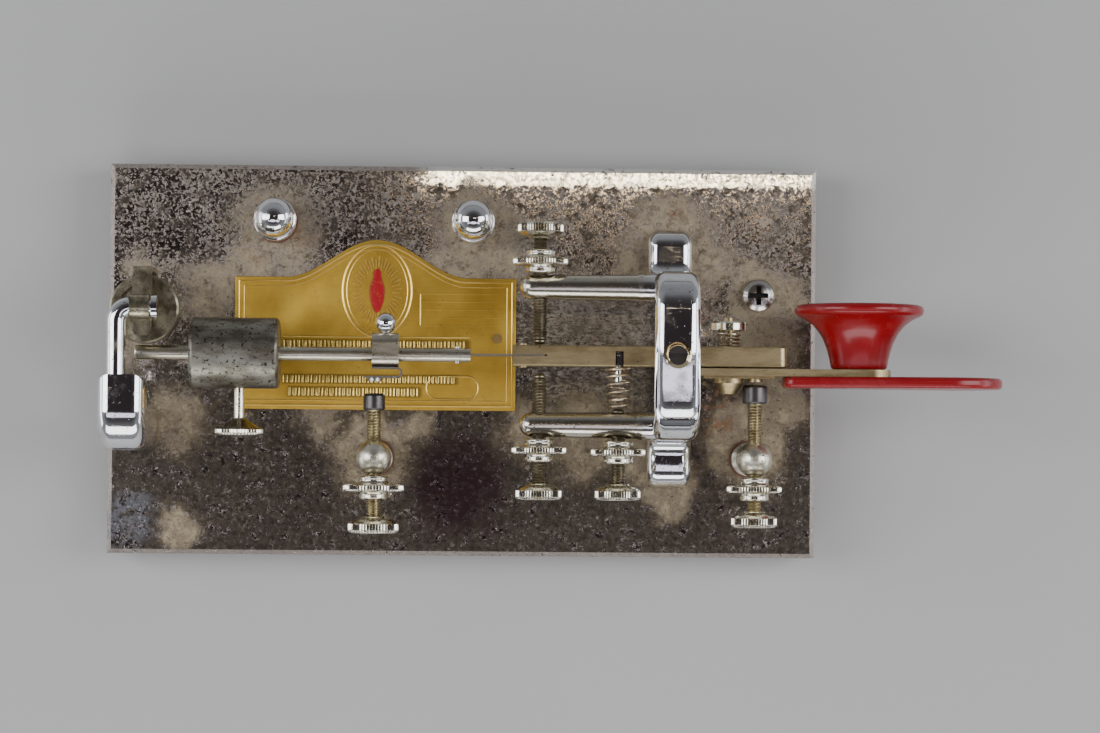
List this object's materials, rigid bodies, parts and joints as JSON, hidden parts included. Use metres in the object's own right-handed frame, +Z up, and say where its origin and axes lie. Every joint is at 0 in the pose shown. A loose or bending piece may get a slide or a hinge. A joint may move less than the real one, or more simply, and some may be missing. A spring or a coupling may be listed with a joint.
{
  "type": "semi-automatic morse key",
  "caption": "Semi-automatic morse key: rocking lever with sprung pendulum and sliding weight, dash lever, adjusting screws and damper on a heavy chromed base plate.",
  "frame": {"origin": "under the middle of the whole key's length and width, on the surface that the rubber feet stand on", "axes": "+X along the lever towards the finger pieces, +Y towards the wire terminals at the back, +Z up"},
  "size_m": [0.194, 0.0856, 0.0445],
  "materials": {
    "plate_chrome": "worn polished",
    "bright_chrome": "polished",
    "nickel": "worn satin",
    "brass": "dull",
    "plate_brass": "brushed",
    "bronze_wire": "drawn",
    "steel": "machined",
    "rubber": "matt",
    "fibre": "matt",
    "red_plastic": "glossy moulded"
  },
  "bodies": {
    "base": {"base_plate": "plate_chrome", "rubber_feet": "rubber", "foot_screws": "steel", "casting_screws": "steel", "insulating_bushes": "fibre", "contact_strap": "brass", "post_nuts": "brass", "dot_post": "nickel", "dash_post": "nickel", "terminal_posts": "nickel", "nameplate": "plate_brass", "nameplate_pins": "brass", "blanking_screw": "bright_chrome", "yoke": "bright_chrome", "pivot_screws": "steel", "damper_bracket": "bright_chrome", "damper_hook": "bright_chrome"},
    "lever": {"main_lever": "nickel", "pivot_shaft": "steel", "main_spring": "steel", "spring_rivets": "nickel", "spring_guide_pin": "nickel", "return_spring": "bronze_wire", "dash_tension_spring": "bronze_wire"},
    "pendulum": {"pendulum_rod": "nickel", "rod_pin": "steel", "contact_clip": "nickel", "clip_screw": "nickel", "dot_contact_spring": "steel"},
    "weight": {"speed_weight": "nickel"},
    "weight_screw": {"weight_screw": "nickel"},
    "dash_arm": {"dash_lever": "nickel", "dash_contact_spring": "steel", "finger_knob": "red_plastic", "thumb_paddle": "red_plastic", "finger_piece_screws": "steel", "dash_tension_screw": "nickel"},
    "dash_tension_nut": {"dash_tension_nut": "nickel"},
    "damper_fork": {"damper_fork": "nickel", "wheel_pin": "brass"},
    "damper_wheel": {"damper_wheel": "nickel"},
    "back_stop_screw": {"back_stop_screw": "brass"},
    "back_stop_head": {"back_stop_head": "nickel"},
    "back_stop_lock_nut": {"back_stop_lock_nut": "nickel"},
    "front_stop_screw": {"front_stop_screw": "brass"},
    "front_stop_head": {"front_stop_head": "nickel"},
    "front_stop_lock_nut": {"front_stop_lock_nut": "nickel"},
    "return_spring_screw": {"return_spring_screw": "brass"},
    "return_spring_head": {"return_spring_head": "nickel"},
    "return_spring_lock_nut": {"return_spring_lock_nut": "nickel"},
    "dot_screw": {"dot_screw": "brass"},
    "dot_head": {"dot_head": "nickel"},
    "dot_lock_nut": {"dot_lock_nut": "nickel"},
    "dash_screw": {"dash_screw": "brass"},
    "dash_head": {"dash_head": "nickel"},
    "dash_lock_nut": {"dash_lock_nut": "nickel"},
    "insulated_terminal_collar": {"insulated_terminal_collar": "nickel"},
    "insulated_terminal_nut": {"insulated_terminal_nut": "bright_chrome"},
    "ground_terminal_collar": {"ground_terminal_collar": "nickel"},
    "ground_terminal_nut": {"ground_terminal_nut": "bright_chrome"}
  },
  "joints": [
    {"name": "lever_rock", "type": "hinge", "parent": "base", "child": "lever", "pos_m": [0.0262, 0.0008, 0.03], "axis": [0, 0, 1], "range_deg": [0, 2], "stiffness_Nm_per_rad": 0.042, "springref_deg": -8.02, "deforming": ["return_spring"]},
    {"name": "pendulum_swing", "type": "hinge", "parent": "lever", "child": "pendulum", "pos_m": [-0.01305, 0.0008, 0.03], "axis": [0, 0, 1], "range_deg": [0, 2.5], "stiffness_Nm_per_rad": 0.9, "deforming": ["main_spring"]},
    {"name": "dash_press", "type": "hinge", "parent": "lever", "child": "dash_arm", "pos_m": [0.0262, 0.0008, 0.03], "axis": [0, 0, 1], "range_deg": [-1.5, 0], "stiffness_Nm_per_rad": 0.02, "springref_deg": 5.73, "deforming": ["dash_tension_spring"]},
    {"name": "weight_slide", "type": "slide", "parent": "pendulum", "child": "weight", "axis": [1, 0, 0], "range_m": [-0.0015, 0.016]},
    {"name": "weight_screw_turn", "type": "hinge", "parent": "weight", "child": "weight_screw", "pos_m": [-0.067, -0.0136, 0.03], "axis": [0, -1, 0], "range_deg": [0, 180]},
    {"name": "dash_tension_nut_turn", "type": "hinge", "parent": "dash_arm", "child": "dash_tension_nut", "pos_m": [0.038, 0.0064, 0.03], "axis": [0, 1, 0], "range_deg": [-180, 180]},
    {"name": "damper_swing", "type": "hinge", "parent": "base", "child": "damper_fork", "pos_m": [-0.0874, 0.01, 0.0405], "axis": [1, 0, 0], "range_deg": [0, 12]},
    {"name": "damper_wheel_spin", "type": "hinge", "parent": "damper_fork", "child": "damper_wheel", "pos_m": [-0.0874, 0.01, 0.03], "axis": [0, 0, 1], "continuous": true},
    {"name": "back_stop_screw_feed", "type": "slide", "parent": "base", "child": "back_stop_screw", "axis": [0, 1, 0], "range_m": [0, 0.00127]},
    {"name": "back_stop_screw_turn", "type": "hinge", "parent": "back_stop_screw", "child": "back_stop_head", "pos_m": [-0.0027, 0.026, 0.03], "axis": [0, 1, 0], "range_deg": [0, 720]},
    {"name": "back_stop_lock_nut_turn", "type": "hinge", "parent": "base", "child": "back_stop_lock_nut", "pos_m": [-0.0027, 0.0186, 0.03], "axis": [0, 1, 0], "range_deg": [0, 120]},
    {"name": "front_stop_screw_feed", "type": "slide", "parent": "base", "child": "front_stop_screw", "axis": [0, -1, 0], "range_m": [-0.00063, 0.00127]},
    {"name": "front_stop_screw_turn", "type": "hinge", "parent": "front_stop_screw", "child": "front_stop_head", "pos_m": [-0.0027, -0.0266, 0.03], "axis": [0, -1, 0], "range_deg": [-360, 720]},
    {"name": "front_stop_lock_nut_turn", "type": "hinge", "parent": "base", "child": "front_stop_lock_nut", "pos_m": [-0.0027, -0.017, 0.03], "axis": [0, -1, 0], "range_deg": [0, 120]},
    {"name": "return_spring_screw_feed", "type": "slide", "parent": "base", "child": "return_spring_screw", "axis": [0, -1, 0], "range_m": [-0.00063, 0.00063]},
    {"name": "return_spring_screw_turn", "type": "hinge", "parent": "return_spring_screw", "child": "return_spring_head", "pos_m": [0.0143, -0.0266, 0.03], "axis": [0, -1, 0], "range_deg": [-360, 360]},
    {"name": "return_spring_lock_nut_turn", "type": "hinge", "parent": "base", "child": "return_spring_lock_nut", "pos_m": [0.0143, -0.0173, 0.03], "axis": [0, -1, 0], "range_deg": [0, 120]},
    {"name": "dot_screw_feed", "type": "slide", "parent": "base", "child": "dot_screw", "axis": [0, -1, 0], "range_m": [-0.00063, 0.00127]},
    {"name": "dot_screw_turn", "type": "hinge", "parent": "dot_screw", "child": "dot_head", "pos_m": [-0.0381, -0.034, 0.03], "axis": [0, -1, 0], "range_deg": [-360, 720]},
    {"name": "dot_lock_nut_turn", "type": "hinge", "parent": "base", "child": "dot_lock_nut", "pos_m": [-0.0381, -0.0253, 0.03], "axis": [0, -1, 0], "range_deg": [0, 120]},
    {"name": "dash_screw_feed", "type": "slide", "parent": "base", "child": "dash_screw", "axis": [0, 1, 0], "range_m": [-0.00127, 0.00032]},
    {"name": "dash_screw_turn", "type": "hinge", "parent": "dash_screw", "child": "dash_head", "pos_m": [0.0437, -0.0322, 0.03], "axis": [0, 1, 0], "range_deg": [-720, 180]},
    {"name": "dash_lock_nut_turn", "type": "hinge", "parent": "base", "child": "dash_lock_nut", "pos_m": [0.0437, -0.025, 0.03], "axis": [0, -1, 0], "range_deg": [0, 120]},
    {"name": "insulated_terminal_nut_lift", "type": "slide", "parent": "base", "child": "insulated_terminal_collar", "axis": [0, 0, 1], "range_m": [0, 0.00254]},
    {"name": "insulated_terminal_nut_turn", "type": "hinge", "parent": "insulated_terminal_collar", "child": "insulated_terminal_nut", "pos_m": [-0.0605, 0.0304, 0.023], "axis": [0, 0, 1], "range_deg": [0, 1440]},
    {"name": "ground_terminal_nut_lift", "type": "slide", "parent": "base", "child": "ground_terminal_collar", "axis": [0, 0, 1], "range_m": [0, 0.00254]},
    {"name": "ground_terminal_nut_turn", "type": "hinge", "parent": "ground_terminal_collar", "child": "ground_terminal_nut", "pos_m": [-0.0172, 0.0304, 0.023], "axis": [0, 0, 1], "range_deg": [0, 1440]}
  ],
  "couplings": [
    {"joint": "back_stop_screw_turn", "follows": "back_stop_screw_feed", "rad_per_m": 9894.8},
    {"joint": "front_stop_screw_turn", "follows": "front_stop_screw_feed", "rad_per_m": 9894.8},
    {"joint": "return_spring_screw_turn", "follows": "return_spring_screw_feed", "rad_per_m": 9894.8},
    {"joint": "dot_screw_turn", "follows": "dot_screw_feed", "rad_per_m": 9894.8},
    {"joint": "dash_screw_turn", "follows": "dash_screw_feed", "rad_per_m": 9894.8},
    {"joint": "insulated_terminal_nut_turn", "follows": "insulated_terminal_nut_lift", "rad_per_m": 9894.8},
    {"joint": "ground_terminal_nut_turn", "follows": "ground_terminal_nut_lift", "rad_per_m": 9894.8}
  ]
}
